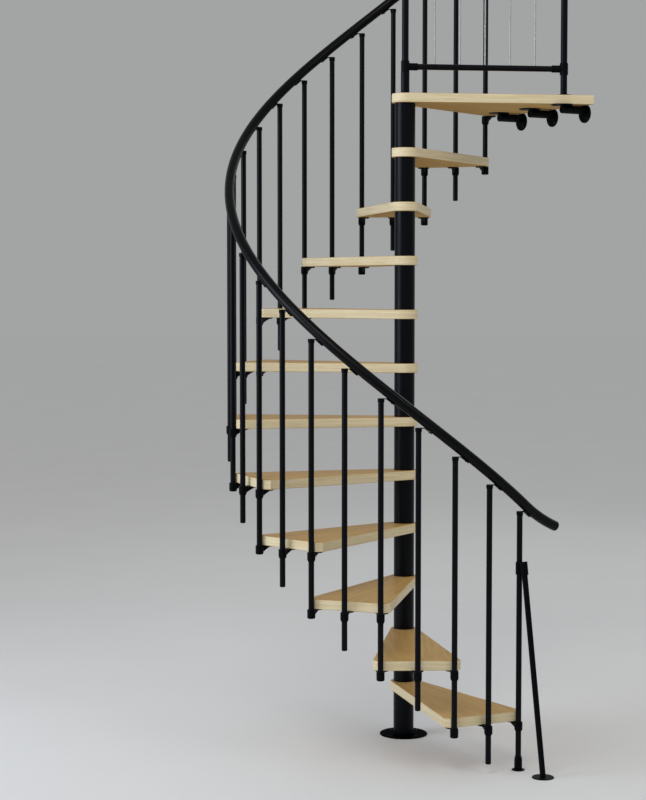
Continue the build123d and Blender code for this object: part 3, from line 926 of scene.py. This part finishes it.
def turned_stub(tree, given, top):
    """A stub that is swept up a short line and gets narrower towards its crown."""
    sunk = add(tree, "ShaderNodeMath", {0: given.outputs["Sunk"], 1: -1.0}, operation="MULTIPLY")
    foot = add(tree, "ShaderNodeCombineXYZ", {"Z": sunk.outputs[0]})
    axis = add(tree, "GeometryNodeCurvePrimitiveLine", {"Start": foot.outputs[0], "End": top})
    rings = add(
        tree, "GeometryNodeResampleCurve", {"Curve": axis.outputs[0], "Count": given.outputs["Rings"]}
    )
    share = add(tree, "GeometryNodeSplineParameter")
    fall = add(
        tree,
        "ShaderNodeMath",
        {0: share.outputs["Factor"], 1: given.outputs["Crown power"]},
        operation="POWER",
    )
    left = add(tree, "ShaderNodeMath", {0: 1.0, 1: fall.outputs[0]}, operation="SUBTRACT")
    crown = add(tree, "ShaderNodeMath", {0: left.outputs[0], 1: 0.5}, operation="POWER")
    width = add(tree, "ShaderNodeMath", {0: crown.outputs[0], 1: NARROWEST}, operation="MAXIMUM")
    rim = add(
        tree,
        "GeometryNodeCurvePrimitiveCircle",
        {"Resolution": given.outputs["Sides"], "Radius": given.outputs["Radius"]},
    )
    stub = add(
        tree,
        "GeometryNodeCurveToMesh",
        {
            "Curve": rings.outputs[0],
            "Profile Curve": rim.outputs[0],
            "Scale": width.outputs[0],
            "Fill Caps": True,
        },
    )
    return stub.outputs[0]


print("a crown keeps", NARROWEST, "of its stub's width")

# %% Turned heads: the tree
KEY_SIDES = 6


def key_socket(tree, given, head, top):
    """The head with a six-sided socket cut into its crown."""
    depth = add(tree, "ShaderNodeMath", {0: given.outputs["Socket depth"], 1: 2.0}, operation="MULTIPLY")
    key = add(
        tree,
        "GeometryNodeMeshCylinder",
        {"Vertices": KEY_SIDES, "Radius": given.outputs["Socket radius"], "Depth": depth.outputs[0]},
    )
    raised = add(tree, "GeometryNodeTransform", {"Geometry": key.outputs[0], "Translation": top})
    cut = add(
        tree,
        "GeometryNodeMeshBoolean",
        {0: head, 1: raised.outputs[0]},
        operation="DIFFERENCE",
        solver="EXACT",
    )
    return cut.outputs[0]


def turned_head(name, material, has_socket):
    """Tree that sets one head on each point."""
    tree, given = new_tree(
        name,
        {
            "Sides": ("Int", 16),
            "Rings": ("Int", 7),
            "Radius": ("Float", 0.005),
            "Height": ("Float", 0.003),
            "Sunk": ("Float", 0.001),
            "Crown power": ("Float", 4.0),
            "Socket radius": ("Float", 0.002),
            "Socket depth": ("Float", 0.002),
        },
    )
    crown = add(tree, "ShaderNodeCombineXYZ", {"Z": given.outputs["Height"]})
    head = turned_stub(tree, given, crown.outputs[0])
    if has_socket:
        head = key_socket(tree, given, head, crown.outputs[0])
    facing = add(tree, "GeometryNodeInputNamedAttribute", {"Name": "facing"}, data_type="FLOAT_VECTOR")
    attitude = add(tree, "FunctionNodeAlignRotationToVector", {"Vector": facing.outputs[0]}, axis="Z")
    copies = add(
        tree,
        "GeometryNodeInstanceOnPoints",
        {"Points": given.outputs["Geometry"], "Instance": head, "Rotation": attitude.outputs[0]},
    )
    close_tree(tree, copies.outputs[0], material)
    return tree


plastic_head_tree = turned_head("plastic_heads", rail_plastic, False)
button_tree = turned_head("button_heads", screw_black, True)
hex_tree = turned_head("hex_heads", screw_black, False)
print("trees:", [group.name for group in bpy.data.node_groups])

# %% Rail caps
CAP_RADIUS = 18.95 * MM
tail_end = tail_start + off_rail * TAIL_BEND_RADIUS * (1 - cos(TAIL_TURN))
tail_end += down_rail * TAIL_BEND_RADIUS * sin(TAIL_TURN)
tail_facing = down_rail * cos(TAIL_TURN) + off_rail * sin(TAIL_TURN)
end_azimuth = steps_azimuth(RAIL_END)
upper_end = outward(end_azimuth) * CIRCLE_RADIUS + UP * rail_height(RAIL_END)
upper_facing = -sideways(end_azimuth) * cos(RAIL_SLOPE) + UP * sin(RAIL_SLOPE)
grow(
    "rail_caps",
    plastic_head_tree,
    {
        "Sides": RAIL_SIDES,
        "Rings": 14,
        "Radius": CAP_RADIUS,
        "Height": 8 * MM,
        "Sunk": 1 * MM,
        "Crown power": 4.0,
    },
    [(tail_end, tail_facing), (upper_end, upper_facing)],
)

# %% Plugs in the lower ends of the middle balusters
PLUG_RADIUS = 10.3 * MM
MIDDLE_TAIL = 138 * MM
plug_places = []
for number in range(1, TREADS + 1):
    baluster_end = UP * (board_underside(number) - MIDDLE_TAIL)
    plug_places.append((outward(steps_azimuth(number - 0.5)) * CIRCLE_RADIUS + baluster_end, DOWN))
grow(
    "baluster_plugs",
    plastic_head_tree,
    {"Sides": 24, "Rings": 8, "Radius": PLUG_RADIUS, "Height": 3 * MM, "Sunk": 1 * MM, "Crown power": 3.0},
    plug_places,
)

# %% [markdown]
# ## Screws under the boards and the rail
# Each bracket's plate is held up against its board with two wood screws, one on each side of the web,
# and each clip's tongue with one screw that goes up into the rail. They are button heads with a hex
# socket, blackened like the fittings. They are seen from below, so they are grown from the brackets'
# own rule and face the way their plates face.

# %% Screws under the boards
PLATE_THICKNESS = 4 * MM
SCREW_REACH = 46 * MM
SCREW_SPREAD = 12.5 * MM


def plate_screws(baluster_azimuth, arm_azimuth, underside):
    """The two screws of the bracket at that baluster whose arm points along arm_azimuth."""
    middle = outward(baluster_azimuth) * CIRCLE_RADIUS + outward(arm_azimuth) * SCREW_REACH
    middle += UP * (underside - PLATE_THICKNESS)
    return [(middle + sideways(arm_azimuth) * spread, DOWN) for spread in (-SCREW_SPREAD, SCREW_SPREAD)]


screw_places = []
for number in range(1, TREADS + 1):
    for steps in (number - 1, number - 0.5, number):
        azimuth = steps_azimuth(steps)
        screw_places += plate_screws(azimuth, azimuth + 180, board_underside(number))
landing_underside = LANDING_TOP - BOARD_THICKNESS
screw_places += plate_screws(steps_azimuth(TREADS), LANDING_AZIMUTH - 90, landing_underside)
grow(
    "plate_screws",
    button_tree,
    {
        "Radius": 4.5 * MM,
        "Height": 2.6 * MM,
        "Sunk": 0.5 * MM,
        "Crown power": 2.5,
        "Socket radius": 1.9 * MM,
        "Socket depth": 1.6 * MM,
    },
    screw_places,
)

# %% Screws under the handrail's clips
BAR_RADIUS = 19 * MM
RAIL_GAP = 17 * MM
SEAT_GAP = 0.3 * MM
CLIP_THICKNESS = 3 * MM
CLIP_SCREW_REACH = 39 * MM

# A clip leaves its cap level, bends where it meets the rail's underside and follows the rail down
bend_reach = (RAIL_GAP - SEAT_GAP / cos(RAIL_SLOPE)) / tan(RAIL_SLOPE)
tongue_drop = (CLIP_SCREW_REACH - bend_reach) * tan(RAIL_SLOPE) + CLIP_THICKNESS / cos(RAIL_SLOPE)
screw_below_rail = BAR_RADIUS / cos(RAIL_SLOPE) + RAIL_GAP + tongue_drop
clip_places = []
for half_steps in range(2 * TREADS + 1):
    steps = half_steps / 2
    azimuth = steps_azimuth(steps)
    point = outward(azimuth) * CIRCLE_RADIUS + sideways(azimuth) * CLIP_SCREW_REACH
    point += UP * (rail_height(steps) - screw_below_rail)
    clip_places.append((point, -sideways(azimuth) * sin(RAIL_SLOPE) - UP * cos(RAIL_SLOPE)))
grow(
    "clip_screws",
    button_tree,
    {
        "Radius": 4.2 * MM,
        "Height": 2.4 * MM,
        "Sunk": 0.5 * MM,
        "Crown power": 2.5,
        "Socket radius": 1.7 * MM,
        "Socket depth": 1.5 * MM,
    },
    clip_places,
)

# %% [markdown]
# ## Bolts in the floor plate and the anchors' flanges
# Four screws hold the base plate down and four bolts go through the flange at each anchor's end. They
# fill the holes that the CAD model leaves open. The floor ones lie flush in the plate, so that nobody
# trips over them, and the others have six-sided heads over the holes.

# %% Screws in the floor plate
BASE_PLATE_THICKNESS = 5 * MM
FLOOR_HOLES_RADIUS = 70 * MM
QUARTERS = (45, 135, 225, 315)  # degrees
grow(
    "floor_screws",
    button_tree,
    {
        "Radius": 4.9 * MM,
        "Height": 0.4 * MM,
        "Sunk": 4 * MM,
        "Crown power": 10.0,
        "Socket radius": 2.3 * MM,
        "Socket depth": 1.5 * MM,
    },
    [(outward(quarter) * FLOOR_HOLES_RADIUS + UP * BASE_PLATE_THICKNESS, UP) for quarter in QUARTERS],
)

# %% Bolts in the anchors' flanges
LANDING_REACH = 668 * MM
FLANGE_GAP = 1 * MM
FLANGE_DROP = 12 * MM
FLANGE_HOLES_RADIUS = 27 * MM
ANCHOR_PLATE_THICKNESS = 4 * MM
ANCHOR_TUBE_RADIUS = 16 * MM
WELD_DEPTH = 1 * MM
ANCHOR_SPACING = 211 * MM
MIDDLE_ANCHOR_SIDE = -57 * MM
below_board = ANCHOR_PLATE_THICKNESS + ANCHOR_TUBE_RADIUS - WELD_DEPTH + FLANGE_DROP
ahead, across = outward(LANDING_AZIMUTH), sideways(LANDING_AZIMUTH)
flange_places = []
for place in (1, 0, -1):
    centre = ahead * (LANDING_REACH + FLANGE_GAP) + across * (MIDDLE_ANCHOR_SIDE + ANCHOR_SPACING * place)
    centre += UP * (landing_underside - below_board)
    for quarter in QUARTERS:
        offset = across * cos(radians(quarter)) + UP * sin(radians(quarter))
        flange_places.append((centre + offset * FLANGE_HOLES_RADIUS, -ahead))
grow(
    "slab_bolts",
    hex_tree,
    {"Sides": 6, "Rings": 5, "Radius": 7 * MM, "Height": 5 * MM, "Sunk": 3.5 * MM, "Crown power": 12.0},
    flange_places,
)
